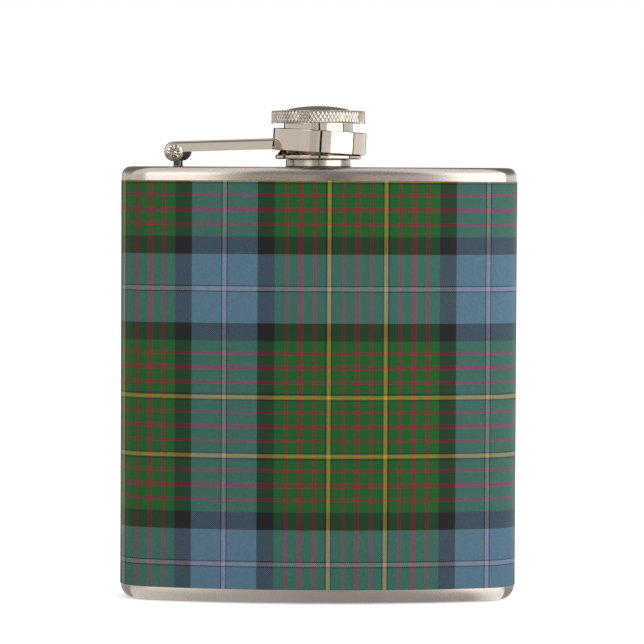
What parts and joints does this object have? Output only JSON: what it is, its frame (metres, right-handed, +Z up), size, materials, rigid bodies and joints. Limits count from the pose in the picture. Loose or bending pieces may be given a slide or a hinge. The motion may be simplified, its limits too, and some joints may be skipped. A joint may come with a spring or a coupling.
{
  "type": "hip flask",
  "caption": "Curved steel hip flask with a printed wrap, a knurled screw cap and a riveted arm that keeps the cap captive.",
  "frame": {"origin": "on the standing surface, under the middle of the body's bounding box", "axes": "+Z up along the flask's height, +X across its width away from the hinge, -Y towards the convex front"},
  "size_m": [0.093, 0.0257, 0.1156],
  "materials": {
    "body_steel": "satin polished",
    "weld_steel": "ground weld",
    "turned_steel": "turned",
    "polished_steel": "polished",
    "printed_vinyl": "printed satin film",
    "seal_rubber": "soft satin"
  },
  "bodies": {
    "flask": {"body_shell": "body_steel", "side_seam_weld": "weld_steel", "bottom_plate": "body_steel", "bottom_seam_weld": "weld_steel", "top_plate": "body_steel", "top_seam_weld": "weld_steel", "vinyl_wrap": "printed_vinyl", "neck": "turned_steel", "neck_weld": "weld_steel", "hinge_post": "turned_steel", "post_weld": "weld_steel"},
    "arm": {"cap_arm": "polished_steel", "arm_collar": "polished_steel", "hinge_rivet": "turned_steel"},
    "seal": {"cap_gasket": "seal_rubber"},
    "cap": {"cap_sleeve": "polished_steel", "cap_head": "polished_steel"}
  },
  "joints": [
    {"name": "arm_swing", "type": "hinge", "parent": "flask", "child": "arm", "pos_m": [-0.03385, -0.00208, 0.1048], "axis": [0, -1, 0], "range_deg": [0, 180]},
    {"name": "cap_rise", "type": "slide", "parent": "arm", "child": "seal", "axis": [0, 0, 1], "range_m": [0, 0.0027]},
    {"name": "cap_spin", "type": "hinge", "parent": "seal", "child": "cap", "pos_m": [-0.0003, -0.00208, 0.1111], "axis": [0, 0, 1], "range_deg": [0, 540]}
  ],
  "couplings": [
    {"joint": "cap_spin", "follows": "cap_rise", "rad_per_m": 3490.7}
  ]
}
